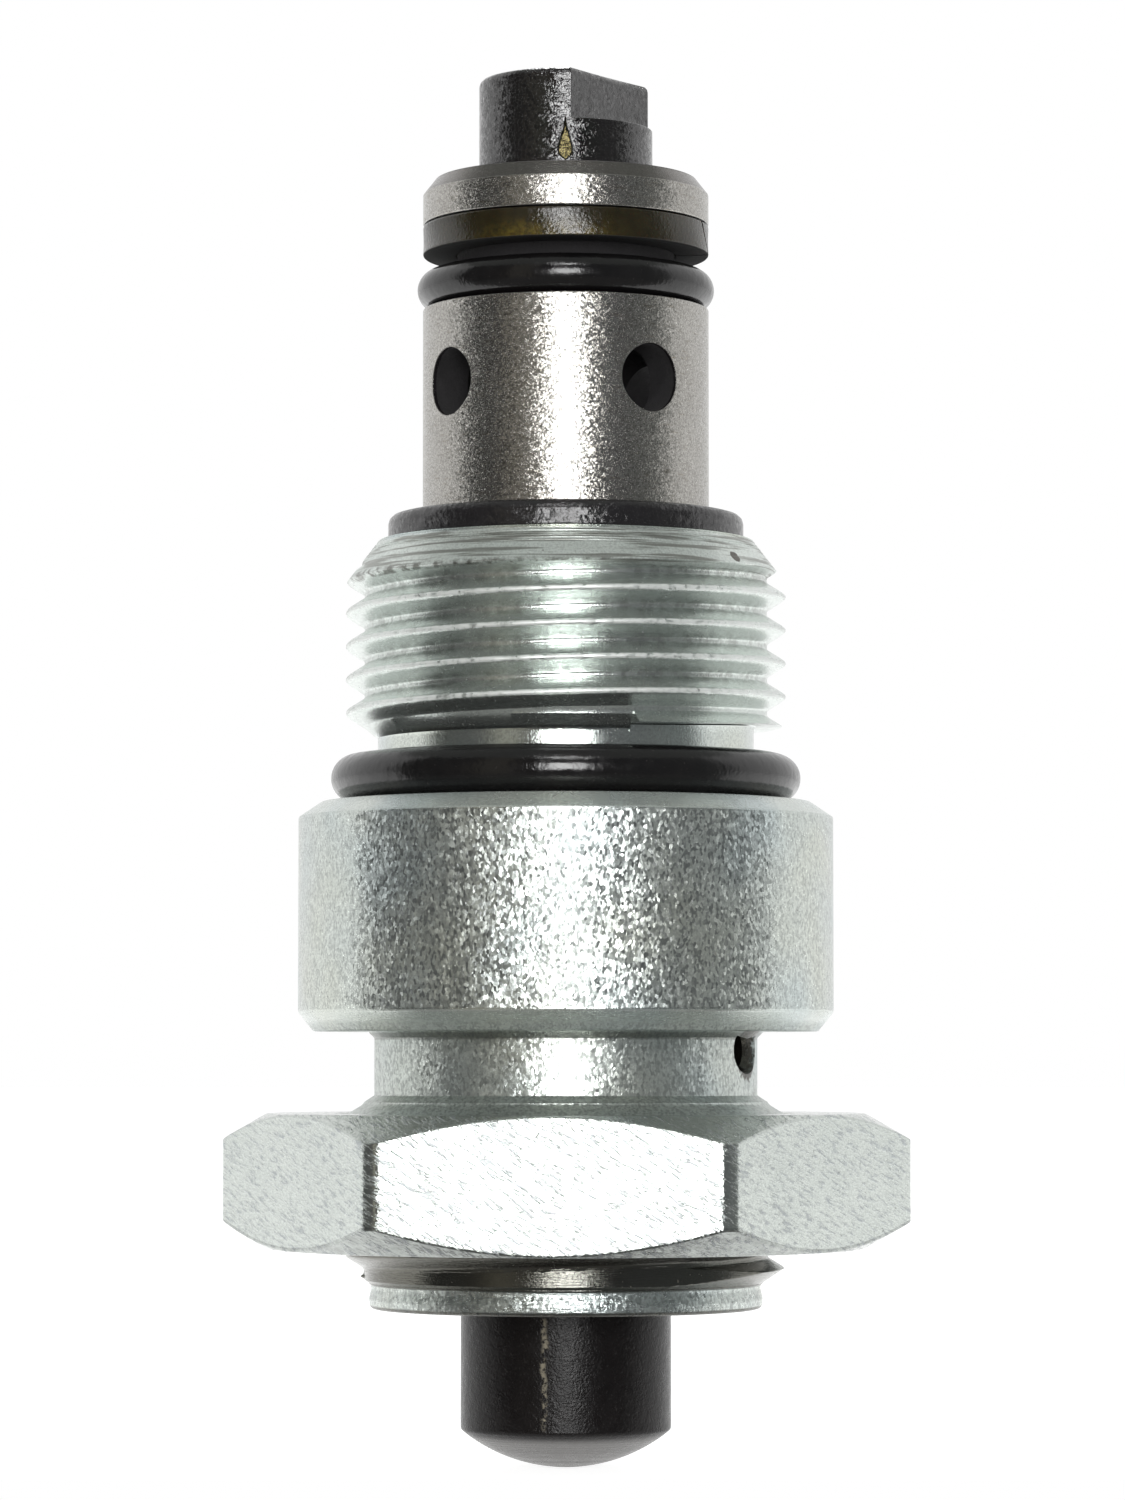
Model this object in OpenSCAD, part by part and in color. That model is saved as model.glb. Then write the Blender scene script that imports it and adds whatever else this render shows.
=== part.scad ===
// Push-operated, normally closed hydraulic cartridge valve.
// Millimetres. The origin is on the axis at the body's seating face, and +Z runs to the nose.
// Bearings are counted from -Y, positive towards +X. "z" values are heights on the axis.

/* [Threads] */
// Outside radius of both body threads (M20 x 1.5)
thread_r = 9.9; // [9.8:0.01:10]
// Pitch of both body threads
thread_pitch = 1.5; // [1:0.25:2]
// Depth of the thread's profile
thread_depth = 0.86; // [0.6:0.01:0.95]
// Outside radius of the cage's spigot thread (M14 x 1)
spigot_r = 7; // [6:0.1:7.2]
// Pitch of the spigot thread
spigot_pitch = 1; // [0.75:0.25:1.5]

/* [Body] */
// Radius of the round collar
collar_r = 12; // [11:0.1:14]
// Height of the collar
collar_h = 10.25; // [8:0.05:14]
// Top of the cavity thread's shoulder
body_top = 11.75; // [10:0.05:14]
// Radius of the smooth relief between the seating face and the cavity thread
relief_r = 8.4; // [8:0.05:9]
// Radius of the neck that takes the mounting bracket
neck_r = 8.58; // [8:0.01:9]
// Lower end of the neck, where the stem's thread begins
neck_end = -13.4; // [-14:0.1:-12]
// Radius of the plain pilot at the stem's end
pilot_r = 8.8; // [8.5:0.05:9]
// End of the stem
stem_end = -22.6; // [-25:0.1:-20]
// Radius of the vent hole in the neck
vent_r = 1; // [0.5:0.05:1.3]
// Bearing of the vent hole
vent_bearing = 69; // [0:1:359]

/* [Cage and nose] */
// Radius of the flange
flange_r = 8; // [7.5:0.05:8.5]
// Height of the flange
flange_h = 1.2; // [1:0.05:1.5]
// Radius of the ground sleeve
sleeve_r = 6.45; // [6:0.01:6.5]
// Lower and upper end of the nose seal groove
groove_z = [22.25, 26.1]; // [20:0.05:28]
// Radius of the groove's floor
groove_r = 4.9; // [4.6:0.05:5]
// Top face of the cage
cage_top = 28.15; // [26:0.05:30]
// Radius of the four flow ports
port_r = 1.5; // [1:0.05:1.9]
// Height of the flow ports
port_z = 18.6; // [17:0.1:20]
// Bearing of the first flow port
port_bearing = 36; // [0:1:89]
// Radius of the throat under the seat
throat_r = 3.2; // [3:0.05:3.4]

/* [Poppet and rod] */
// Radius of the poppet's head
head_r = 3.92; // [3.8:0.01:4.2]
// Top of the poppet's head
head_top = 32.7; // [31:0.05:34]
// Lower end of the flat in the head
flat_z = 30.4; // [29:0.05:31]
// Distance of the flat from the axis
flat_d = 2.4; // [2:0.05:3.5]
// Bearing of the flat
flat_bearing = 55.5; // [0:0.5:359]
// Radius of the push rod
rod_r = 2; // [1.8:0.05:2.2]

/* [Plunger] */
// Radius of the plunger
plunger_r = 4.7; // [4.5:0.05:4.9]
// Height of the plunger's lower edge at rest
plunger_lip = -27.95; // [-30:0.05:-25]
// Lowest point of the plunger's dome at rest
plunger_tip = -29.65; // [-31:0.05:-28]
// How far the plunger is pushed in, with the rod and the poppet
push = 0; // [0:0.1:3]

/* [Jam nut] */
// Size across the nut's flats
nut_af = 27; // [24:0.5:30]
// Lower and upper face of the nut
nut_z = [-19.9, -13.9]; // [-21:0.05:-13]
// Bearing of the flat that faces forward
nut_bearing = -3; // [-30:1:30]

/* [Seals] */
// Section radius of the O-ring on the seating face
face_ring_s = 1.07; // [0.9:0.01:1.2]
// Outside radius of the O-ring on the seating face
face_ring_r = 10.55; // [10:0.01:11]
// Section radius of the nose O-ring
nose_ring_s = 0.89; // [0.8:0.01:1]
// Outside radius of the nose O-ring
nose_ring_r = 6.7; // [6.5:0.01:6.71]
// Lower and upper face of the nose backup ring
backup_z = [24.7, 26.05]; // [24:0.05:26.1]
// Bearing of the scarf cut in the backup ring
scarf_bearing = 77; // [0:1:359]

/* [Springs] */
// Wire diameter of the return spring
return_wire = 1.1; // [0.8:0.05:1.3]
// Mean coil radius of the return spring
return_r = 5.1; // [4.9:0.05:5.2]
// Wire diameter of the poppet spring
poppet_wire = 0.8; // [0.5:0.05:1]
// Mean coil radius of the poppet spring
poppet_spring_r = 3.8; // [3.5:0.05:4]

/* [Hidden] */
$fn = 96;
eps = 0.01;
touch_gap = 0.02;
thread_root_r = thread_r - thread_depth;
flank = tan(30);

// outside of the body
first_upper_crest = 4.45;
first_lower_crest = -20.1;
upper_crests = [for (i = [0 : 3]) first_upper_crest + i * thread_pitch];
lower_crests = [for (i = [0 : 4]) first_lower_crest + i * thread_pitch];
relief_top = 3.05;
thread_start = 3.65;
last_ridge = [9.63, 10.2];
last_root_z = 9.86;
nose_edge_r = 8.45;
pilot_top = -21.1;
pilot_step = 0.15;
collar_top_bevel = [1, 0.68];
collar_foot_bevel = [0.7, 0.85];
vent_z = -11.2;

// inside of the body, from the top down
seal_well_r = 7.7;
seal_well_z = 10.55;
spigot_depth = 0.61;
spigot_root_r = spigot_r - spigot_depth;
spigot_end = 4;
first_spigot_crest = 4.75;
spigot_crests = [for (i = [0 : 5]) first_spigot_crest + i * spigot_pitch];
chamber_r = 5;
gland_face = -1.45;
clip_seat = [-0.65, 0.2];
clip_seat_r = 5.4;
gland_r = 3.5;
gland_floor = -4;
dry_room_top = -5.5;
dry_room_r = 6;
bush_r = 6.3;
bush_z = [-22, -17.5];
wiper_seat_r = 5.7;
wiper_seat_z = [-21.5, -20.3];
lip_r = 5.6;
rod_hole_r = rod_r + 0.05;

// inside of the cage
undercut_r = 6.3;
spring_room_r = 4.9;
guide_z = [10, 15];
guide_r = rod_r + 0.03;
flow_room_r = 4.6;
flow_room_top = 20.3;
seat_r = 3.8;
seat_z = cage_top - (seat_r - throat_r);

// rod, poppet and spring collar
rod_end = -9.5;
tip_r = 1.5;
tip_z = [24, 30];
clip_groove_r = 1.6;
clip_z = [0.3, 0.7];
collar_z = [0.7, 1.5];
backup_h = 1;

// plunger
shoulder_z = [bush_z[1] + touch_gap, -15.9];

// a profile turned about the axis
module turned(points) {
    rotate_extrude()
        polygon(points);
}

// a square ring: inside and outside radius, then its lower and upper face
module ring(inner, outer, z) {
    turned([[inner, z[0]], [outer, z[0]], [outer, z[1]], [inner, z[1]]]);
}

// turns a bearing into the +X direction of its contents
module at_bearing(bearing) {
    rotate([0, 0, bearing - 90])
        children();
}

// moves its contents with the plunger
module pushed() {
    translate([0, 0, push])
        children();
}

// a straight hole from the axis outwards
module radial_hole(radius, height, bearing, reach) {
    at_bearing(bearing)
        translate([0, 0, height])
            rotate([0, 90, 0])
                cylinder(r = radius, h = reach);
}

// one thread ridge as profile points from its lower to its upper root, widened by gap
function ridge(z, root, crest, pitch, gap = 0) =
    let (half_crest = pitch / 16 + gap, half_root = half_crest + (crest - root) * flank)
    [[root, z - half_root], [crest, z - half_crest], [crest, z + half_crest], [root, z + half_root]];

function ridges(heights, root, crest, pitch, gap = 0) =
    [for (z = heights) each ridge(z, root, crest, pitch, gap)];

function backwards(points) = [for (i = [len(points) - 1 : -1 : 0]) points[i]];

// points along a round corner, from one angle to another
function arc(centre, radius, from, to, steps = 5) =
    [for (i = [0 : steps]) let (a = from + (to - from) * i / steps) centre + radius * [cos(a), sin(a)]];

module valve_body() {
    end_round = 0.35;
    fillet = 0.3;
    thread_gap = 0.03;
    socket_r = spigot_r + thread_gap;
    socket_root_r = spigot_root_r + 0.1;
    socket_floor = spigot_end - 0.2;
    color("lightsteelblue")
        difference() {
            turned(concat(
                [[lip_r, stem_end]],
                arc([pilot_r - end_round, stem_end + end_round], end_round, -90, 0),
                [[pilot_r, pilot_top], [thread_root_r, pilot_top + pilot_step]],
                ridges(lower_crests, thread_root_r, thread_r, thread_pitch),
                [
                    [neck_r, neck_end + fillet], [neck_r, -collar_h - fillet],
                    [neck_r + fillet, -collar_h],
                    [collar_r - collar_foot_bevel[0], -collar_h],
                    [collar_r, -collar_h + collar_foot_bevel[1]],
                    [collar_r, -collar_top_bevel[1]],
                    [collar_r - collar_top_bevel[0], 0],
                    [relief_r, 0], [relief_r, relief_top], [thread_root_r, thread_start]
                ],
                ridges(upper_crests, thread_root_r, thread_r, thread_pitch),
                [
                    [thread_root_r, last_root_z], last_ridge, [nose_edge_r, body_top],
                    [seal_well_r, body_top], [seal_well_r, seal_well_z], [socket_r, seal_well_z]
                ],
                backwards(ridges(spigot_crests, socket_root_r, socket_r, spigot_pitch, 0.05)),
                [
                    [socket_root_r, socket_floor], [chamber_r, socket_floor],
                    [chamber_r, clip_seat[1]], [clip_seat_r, clip_seat[1]],
                    [clip_seat_r, clip_seat[0]], [chamber_r, clip_seat[0]],
                    [chamber_r, gland_face], [gland_r, gland_face],
                    [gland_r, gland_floor], [rod_hole_r, gland_floor],
                    [rod_hole_r, dry_room_top], [dry_room_r, dry_room_top],
                    [dry_room_r, bush_z[1]], [bush_r, bush_z[1]],
                    [bush_r, bush_z[0]], [lip_r, bush_z[0]]
                ]
            ));
            radial_hole(vent_r, vent_z, vent_bearing, collar_r);
        }
}

module cage() {
    flange_top = body_top + flange_h;
    edge = 0.4;
    nose_bevel = [0.55, 0.7];
    bleed_r = 0.6;
    bleed_place = 2.9;
    color("dimgray")
        difference() {
            turned(concat(
                [[spring_room_r, spigot_end], [spigot_root_r, spigot_end]],
                ridges(spigot_crests, spigot_root_r, spigot_r, spigot_pitch),
                [
                    [spigot_root_r, seal_well_z - 0.2], [undercut_r, seal_well_z - 0.1],
                    [undercut_r, body_top], [flange_r, body_top]
                ],
                arc([flange_r - edge, flange_top - edge], edge, 0, 90),
                [
                    [sleeve_r, flange_top],
                    [sleeve_r, groove_z[0]], [groove_r, groove_z[0]],
                    [groove_r, groove_z[1]], [sleeve_r, groove_z[1]],
                    [sleeve_r, cage_top - nose_bevel[1]], [sleeve_r - nose_bevel[0], cage_top],
                    [seat_r, cage_top], [throat_r, seat_z],
                    [throat_r, flow_room_top + flow_room_r - throat_r],
                    [flow_room_r, flow_room_top], [flow_room_r, guide_z[1]],
                    [guide_r, guide_z[1]], [guide_r, guide_z[0]],
                    [spring_room_r, guide_z[0]]
                ]
            ));
            for (i = [0 : 3])
                radial_hole(port_r, port_z, port_bearing + 90 * i, flange_r);
            for (side = [0, 180])
                at_bearing(side)
                    translate([bleed_place, 0, guide_z[0] - 1])
                        cylinder(r = bleed_r, h = guide_z[1] - guide_z[0] + 2);
        }
}

module poppet() {
    stem_r = 2.3;
    stem_top = 26.7;
    top_round = 0.3;
    color([0.13, 0.12, 0.13])
        pushed() difference() {
            turned(concat(
                [
                    [tip_r, tip_z[0]], [stem_r, tip_z[0]], [stem_r, stem_top],
                    [throat_r - 0.05, seat_z + touch_gap],
                    [seat_r, cage_top + touch_gap],
                    [head_r, cage_top + touch_gap]
                ],
                arc([head_r - top_round, head_top - top_round], top_round, 0, 90),
                [[0, head_top], [0, tip_z[1]], [tip_r, tip_z[1]]]
            ));
            at_bearing(flat_bearing)
                translate([flat_d, -head_r - 1, flat_z])
                    cube([head_r, 2 * head_r + 2, head_top - flat_z + 1]);
        }
}

module push_rod() {
    end_bevel = 0.3;
    groove = [clip_z[0] - touch_gap, clip_z[1] + touch_gap];
    color("silver")
        pushed() turned([
            [0, rod_end], [rod_r - end_bevel, rod_end], [rod_r, rod_end + end_bevel],
            [rod_r, groove[0]], [clip_groove_r, groove[0]],
            [clip_groove_r, groove[1]], [rod_r, groove[1]],
            [rod_r, tip_z[0]], [tip_r, tip_z[0]],
            [tip_r, tip_z[1] - 0.5], [tip_r - end_bevel, tip_z[1] - 0.1], [0, tip_z[1] - 0.1]
        ]);
}

module spring_collar() {
    bore = rod_r + touch_gap;
    rim = 4.5;
    hub = poppet_spring_r - poppet_wire / 2 - 0.1;
    hub_h = 0.9;
    color("gray")
        pushed() turned([
            [bore, collar_z[0]], [rim, collar_z[0]], [rim, collar_z[1]], [hub, collar_z[1]],
            [hub, collar_z[1] + hub_h - 0.3], [hub - 0.3, collar_z[1] + hub_h],
            [bore, collar_z[1] + hub_h]
        ]);
}

module collar_clip() {
    rim = 3.4;
    mouth = 2.7;
    color("dimgray")
        translate([0, 0, clip_z[0] + push])
            linear_extrude(clip_z[1] - clip_z[0])
                difference() {
                    circle(r = rim);
                    circle(r = clip_groove_r);
                    translate([0, -mouth / 2])
                        square([rim + 1, mouth]);
                    for (side = [120, 240])
                        rotate(side)
                            translate([(rim + clip_groove_r) / 2, 0])
                                circle(r = 0.45);
                }
}

// a compression spring with closed, ground ends
module coil_spring(low, high, mean_r, wire, active) {
    sides = 8;
    steps = 20;
    closed = 1.08;
    dead = wire * (0.25 + closed);
    turns = active + 2;
    pitch = (high - low - 2 * dead) / active;
    rings = steps * turns;
    function rise(t) =
        t < 1 ? low + wire * (0.25 + closed * t)
        : t > turns - 1 ? high - wire * (0.25 + closed * (turns - t))
        : low + dead + pitch * (t - 1);
    function point(i, k) =
        let (t = i / steps, a = 360 * t, b = 360 * k / sides, r = mean_r + wire / 2 * cos(b))
        [r * cos(a), r * sin(a), max(low, min(high, rise(t) + wire / 2 * sin(b)))];
    points = [for (i = [0 : rings]) for (k = [0 : sides - 1]) point(i, k)];
    last = rings * sides;
    walls = [for (i = [0 : rings - 1]) for (k = [0 : sides - 1])
        let (a = i * sides + k, b = i * sides + (k + 1) % sides)
        each [[a, b, b + sides], [a, b + sides, a + sides]]];
    ends = [for (k = [1 : sides - 2]) each [[0, k + 1, k], [last, last + k, last + k + 1]]];
    polyhedron(points, concat(walls, ends));
}

module poppet_spring() {
    color("lightgray")
        coil_spring(collar_z[1] + touch_gap + push, guide_z[0] - touch_gap, poppet_spring_r, poppet_wire, 4);
}

module return_spring() {
    color("lightgray")
        coil_spring(shoulder_z[1] + touch_gap + push, dry_room_top - touch_gap, return_r, return_wire, 3.5);
}

// an O-ring in its groove: section radius, centre radius, height, and half its squeezed width and height
module o_ring(section, centre, height, squeezed = [2, 2]) {
    color([0.12, 0.12, 0.12])
        rotate_extrude()
            intersection() {
                translate([centre, height])
                    circle(r = section);
                translate([centre, height] - squeezed)
                    square(2 * squeezed);
            }
}

module face_o_ring() {
    o_ring(face_ring_s, face_ring_r - face_ring_s, face_ring_s + eps);
}

module nose_o_ring() {
    o_ring(nose_ring_s, nose_ring_r - nose_ring_s, groove_z[0] + nose_ring_s + eps);
}

module cage_seal() {
    squeezed = [(seal_well_r - undercut_r) / 2 - eps, (body_top - seal_well_z) / 2 - eps];
    o_ring(0.8, (seal_well_r + undercut_r) / 2, (seal_well_z + body_top) / 2, squeezed);
}

module stem_seal() {
    low = gland_floor + backup_h;
    squeezed = [(gland_r - rod_r) / 2 - touch_gap, (gland_face - low) / 2 - eps];
    o_ring(0.82, (gland_r + rod_r) / 2, (low + gland_face) / 2, squeezed);
}

module nose_backup_ring() {
    cut = 0.12;
    slant = 48;
    color([0.3, 0.22, 0.12])
        at_bearing(scarf_bearing + 180)
            difference() {
                ring(groove_r + eps, sleeve_r, backup_z);
                translate([-groove_r, 0, (backup_z[0] + backup_z[1]) / 2])
                    rotate([-slant, 0, 0])
                        translate([-3, -cut / 2, -3])
                            cube([4, cut, 6]);
            }
}

module stem_backup_ring() {
    color("ivory")
        ring(rod_r + touch_gap, gland_r - eps, [gland_floor, gland_floor + backup_h]);
}

module gland_washer() {
    color("silver")
        ring(rod_r + 0.15, chamber_r - 0.05, [gland_face, clip_seat[0]]);
}

module gland_circlip() {
    inner = 4.4;
    outer = clip_seat_r - 0.05;
    thick = 0.8;
    mouth = 90;
    eye_r = 0.75;
    eye_hole_r = 0.35;
    module eyes(radius) {
        for (side = [-1, 1])
            rotate(side * mouth / 2)
                translate([inner, side * eye_r])
                    circle(r = radius);
    }
    color("dimgray")
        translate([0, 0, clip_seat[0]])
            linear_extrude(thick)
                difference() {
                    union() {
                        difference() {
                            circle(r = outer);
                            circle(r = inner);
                            rotate(-mouth / 2)
                                square([outer + 1, outer + 1]);
                        }
                        eyes(eye_r);
                    }
                    eyes(eye_hole_r);
                }
}

module guide_bush() {
    bore_r = plunger_r + 0.05;
    bevel = 0.2;
    color("goldenrod")
        turned([
            [bore_r, bush_z[0]], [bush_r, bush_z[0]],
            [bush_r, bush_z[1] - bevel], [bush_r - bevel, bush_z[1]],
            [bore_r, bush_z[1]], [bore_r, wiper_seat_z[1]],
            [wiper_seat_r, wiper_seat_z[1]], [wiper_seat_r, wiper_seat_z[0]],
            [bore_r, wiper_seat_z[0]]
        ]);
}

module wiper_ring() {
    low = wiper_seat_z[0] + eps;
    high = wiper_seat_z[1] - eps;
    back = wiper_seat_r - eps;
    edge = plunger_r + touch_gap;
    color([0.15, 0.13, 0.12])
        turned([
            [back, low], [back, high], [edge + 0.25, high],
            [edge + 0.25, low + 0.6], [edge, low + 0.2], [edge, low]
        ]);
}

module plunger() {
    shoulder_r = 5.7;
    spigot = return_r - return_wire / 2 - 0.25;
    spigot_h = 2.5;
    pad_r = 3;
    dome_r = 7.4;
    edge_r = 4.4;
    color([0.09, 0.08, 0.09])
        pushed() turned(concat(
            arc([0, plunger_tip + dome_r], dome_r, -90, asin(edge_r / dome_r) - 90, 8),
            [
                [plunger_r, plunger_lip],
                [plunger_r, shoulder_z[0]], [shoulder_r, shoulder_z[0]],
                [shoulder_r, shoulder_z[1]], [spigot, shoulder_z[1]],
                [spigot, shoulder_z[1] + spigot_h - 0.6], [spigot - 0.6, shoulder_z[1] + spigot_h],
                [pad_r, shoulder_z[1] + spigot_h], [pad_r, rod_end - 0.4],
                [pad_r - 0.4, rod_end - touch_gap], [0, rod_end - touch_gap]
            ]
        ));
}

module jam_nut() {
    face_r = 13.4;
    corner_r = 15.46;
    bevel = (corner_r - face_r) * tan(30);
    bore = 9.19;
    groove = 10;
    entry = 10.25;
    height = nut_z[1] - nut_z[0];
    color("lightsteelblue")
        difference() {
            intersection() {
                at_bearing(nut_bearing + 30)
                    translate([0, 0, nut_z[0]])
                        cylinder(r = nut_af / 2 / cos(30), h = height, $fn = 6);
                turned([
                    [0, nut_z[0]], [face_r, nut_z[0]], [corner_r, nut_z[0] + bevel],
                    [corner_r, nut_z[1] - bevel], [face_r, nut_z[1]], [0, nut_z[1]]
                ]);
            }
            translate([0, 0, nut_z[0] - 1])
                cylinder(r = bore, h = height + 2);
            for (z = [for (i = [1 : 3]) lower_crests[i]])
                turned(ridge(z, bore - 0.1, groove, thread_pitch, 0.08));
            translate([0, 0, nut_z[0] - 1])
                cylinder(r1 = entry + 1, r2 = bore - 0.5, h = entry + 1.5 - bore);
            translate([0, 0, nut_z[1] + 1 - (entry + 1.5 - bore)])
                cylinder(r1 = bore - 0.5, r2 = entry + 1, h = entry + 1.5 - bore);
        }
}

valve_body();
cage();
poppet();
push_rod();
spring_collar();
collar_clip();
poppet_spring();
return_spring();
face_o_ring();
nose_o_ring();
cage_seal();
stem_seal();
nose_backup_ring();
stem_backup_ring();
gland_washer();
gland_circlip();
guide_bush();
wiper_ring();
plunger();
jam_nut();
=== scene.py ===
import math

import bmesh
import bpy
import numpy as np
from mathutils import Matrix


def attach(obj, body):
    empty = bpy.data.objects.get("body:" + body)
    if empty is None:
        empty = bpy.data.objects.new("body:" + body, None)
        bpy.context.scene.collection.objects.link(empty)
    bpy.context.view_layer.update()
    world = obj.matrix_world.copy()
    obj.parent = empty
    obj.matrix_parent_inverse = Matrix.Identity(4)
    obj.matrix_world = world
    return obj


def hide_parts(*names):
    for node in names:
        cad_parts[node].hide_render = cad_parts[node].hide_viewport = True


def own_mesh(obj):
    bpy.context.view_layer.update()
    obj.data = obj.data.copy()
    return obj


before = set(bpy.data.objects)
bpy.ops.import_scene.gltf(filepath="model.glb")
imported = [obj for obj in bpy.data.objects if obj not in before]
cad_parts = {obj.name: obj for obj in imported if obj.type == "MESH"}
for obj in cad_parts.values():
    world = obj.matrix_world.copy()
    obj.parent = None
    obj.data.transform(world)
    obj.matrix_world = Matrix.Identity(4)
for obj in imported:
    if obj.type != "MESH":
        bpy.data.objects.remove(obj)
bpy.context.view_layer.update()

# Lengths are millimetres until put() turns them into metres. A bearing is counted in degrees
# from -Y, the side the camera sees, and is positive towards +X.

# The threads on the nose and the stem: outer radius, pitch and depth.
THREAD_R, PITCH, DEPTH = 9.9, 1.5, 0.86
ROOT_R = THREAD_R - DEPTH
# Height of a crest at bearing -90, on the nose and below the nut, and of one ring inside the nut.
NOSE_CREST, HELIX_CREST, RING_CREST = 7.0, -20.2, -20.1
# The stem's thread: its foot, and where the helix turns into rings.
STEM_FOOT, HELIX_TOP = -21.44, -19.5
# The fine thread that joins the cage to the body.
CAVITY_CREST, CAVITY_PITCH = 4.75, 1.0
# Bearing of the body's seam, and the number of its columns.
START, COLUMNS = 19.0, 301

COLLAR_R, COLLAR_H = 12.0, 10.25
NECK_R, NECK_END = 8.58, -13.4
STEM_END, PILOT_R = -22.6, 8.8
BODY_TOP, NOSE_EDGE, CHAMFER_Z, CONE_FOOT = 11.75, 8.45, 9.85, 10.95
RELIEF_R = 8.45
VENT_BEARING, VENT_Z, VENT_R = 69, -11.1, 0.8
SLEEVE_R, CAGE_TOP, FLANGE_TOP = 6.45, 28.15, BODY_TOP + 1.2
GROOVE_R, GROOVE_LOW, GROOVE_HIGH = 4.9, 22.25, 26.1
PORT_BEARING, PORT_Z, PORT_R = 36, 18.6, 1.5
BACKUP_LOW, BACKUP_HIGH = 24.7, 26.05
HEAD_R, HEAD_TOP, FLAT_Z, FLAT_D, FLAT_BEARING = 3.92, 32.7, 30.4, 2.4, 55.5
PLUNGER_R, LIP, TIP = 4.7, -27.95, -29.65
NUT_LOW, NUT_HIGH, NUT_BEARING = -19.9, -13.9, -3.0
NUT_BORE, NUT_MOUTH, NUT_ROOT = 9.19, 10.25, 10.02


# ---------------------------------------------------------------- mesh helpers

def smooth(low, high, value):
    """0 up to low, 1 from high on, and a smooth step between them."""
    t = np.clip((value - low) / (high - low), 0.0, 1.0)
    return t * t * (3 - 2 * t)


def soften(points, radius=0.08, steps=3, guard=0.03, closed=True):
    """Rounds each corner of a profile and adds a guard point on both sides.

    A point's third value is its own radius. A corner takes at most 0.42 of a side, its guard points 0.48.
    """
    nearly_straight = math.radians(86)
    flat = np.array([p[:2] for p in points], float)
    radii = [p[2] if len(p) > 2 else radius for p in points]
    count, out = len(flat), []
    for i, here in enumerate(flat):
        edge = not closed and i in (0, count - 1)
        u, v = flat[i - 1] - here, flat[(i + 1) % count] - here
        lu, lv = np.linalg.norm(u), np.linalg.norm(v)
        if edge or radii[i] == 0 or here[0] == 0 or min(lu, lv) < 1e-6:
            out.append(here)
            continue
        u, v = u / lu, v / lv
        half = math.acos(max(-1.0, min(1.0, float(u @ v)))) / 2
        if half > nearly_straight:
            out.append(here)
            continue
        t = min(radii[i] / math.tan(half), 0.42 * lu, 0.42 * lv)
        r = t * math.tan(half)
        middle = (u + v) / np.linalg.norm(u + v)
        centre = here + middle * r / math.sin(half)
        a = here + u * t - centre
        b = here + v * t - centre
        sweep = math.atan2(a[0] * b[1] - a[1] * b[0], float(a @ b))
        out.append(here + u * min(t + guard, 0.48 * lu))
        for k in range(steps + 1):
            s = sweep * k / steps
            c, d = math.cos(s), math.sin(s)
            out.append(centre + np.array([c * a[0] - d * a[1], d * a[0] + c * a[1]]))
        out.append(here + v * min(t + guard, 0.48 * lv))
    return [tuple(p) for p in out]


def point_at(bearing, r, z):
    """A point from its bearing in degrees, radius and height."""
    a = math.radians(bearing)
    return (r * math.sin(a), -r * math.cos(a), z)


def put(name, points, faces, sharp=32.0):
    """A closed, smooth-shaded mesh object from points in millimetres."""
    mesh = bpy.data.meshes.new(name)
    mesh.from_pydata((np.asarray(points, float) * 0.001).tolist(), [], faces)
    return finish_mesh(name, mesh, sharp)


def finish_mesh(name, mesh, sharp=32.0):
    """Joins points that coincide, closes open rims and makes an object. sharp is the angle of a hard edge."""
    bm = bmesh.new()
    bm.from_mesh(mesh)
    bmesh.ops.remove_doubles(bm, verts=bm.verts, dist=2e-7)
    bmesh.ops.dissolve_degenerate(bm, edges=bm.edges, dist=1e-8)
    rim = [e for e in bm.edges if e.is_boundary]
    if rim:
        bmesh.ops.holes_fill(bm, edges=rim, sides=0)
    loose = [v for v in bm.verts if not v.link_faces]
    bmesh.ops.delete(bm, geom=loose, context="VERTS")
    bmesh.ops.recalc_face_normals(bm, faces=bm.faces)
    bm.to_mesh(mesh)
    bm.free()
    mesh.shade_smooth()
    mesh.set_sharp_from_angle(angle=math.radians(sharp))
    obj = bpy.data.objects.new(name, mesh)
    bpy.context.scene.collection.objects.link(obj)
    return obj


def skin(columns, rows, around):
    """Faces between neighbouring columns of points. Each column is a closed loop of rows points."""
    faces = []
    for c in range(columns if around else columns - 1):
        a, b = c * rows, ((c + 1) % columns) * rows
        for i in range(rows):
            j = (i + 1) % rows
            faces.append((a + i, b + i, b + j, a + j))
    return faces


def caps(columns, rows):
    """The two end faces of a skin that doesn't go around."""
    last = (columns - 1) * rows
    return [tuple(range(rows)), tuple(range(last, last + rows))]


def columns_mesh(name, bearings, profile, around=True, sharp=32.0):
    """A mesh from one closed profile for each bearing.

    profile(bearing) gives (r, z) points, as many at each bearing.
    """
    points, rows = [], 0
    for bearing in bearings:
        column = profile(bearing)
        rows = len(column)
        points += [point_at(bearing, r, z) for r, z in column]
    return put(name, points, skin(len(bearings), rows, around), sharp)


def lathe(name, profile, count=240):
    """A mesh turned round the axis from one closed profile."""
    return columns_mesh(name, np.arange(count) * 360.0 / count, lambda bearing: profile)


def cut(obj, cutters):
    """Cuts solids out of obj for good."""
    for cutter in cutters:
        tool = obj.modifiers.new("cut", "BOOLEAN")
        tool.operation, tool.solver, tool.object = "DIFFERENCE", "EXACT", cutter
    graph = bpy.context.evaluated_depsgraph_get()
    mesh = bpy.data.meshes.new_from_object(obj.evaluated_get(graph))
    name = obj.name
    for old in [obj] + cutters:
        bpy.data.objects.remove(old)
    mesh.name = name
    return finish_mesh(name, mesh)


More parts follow.
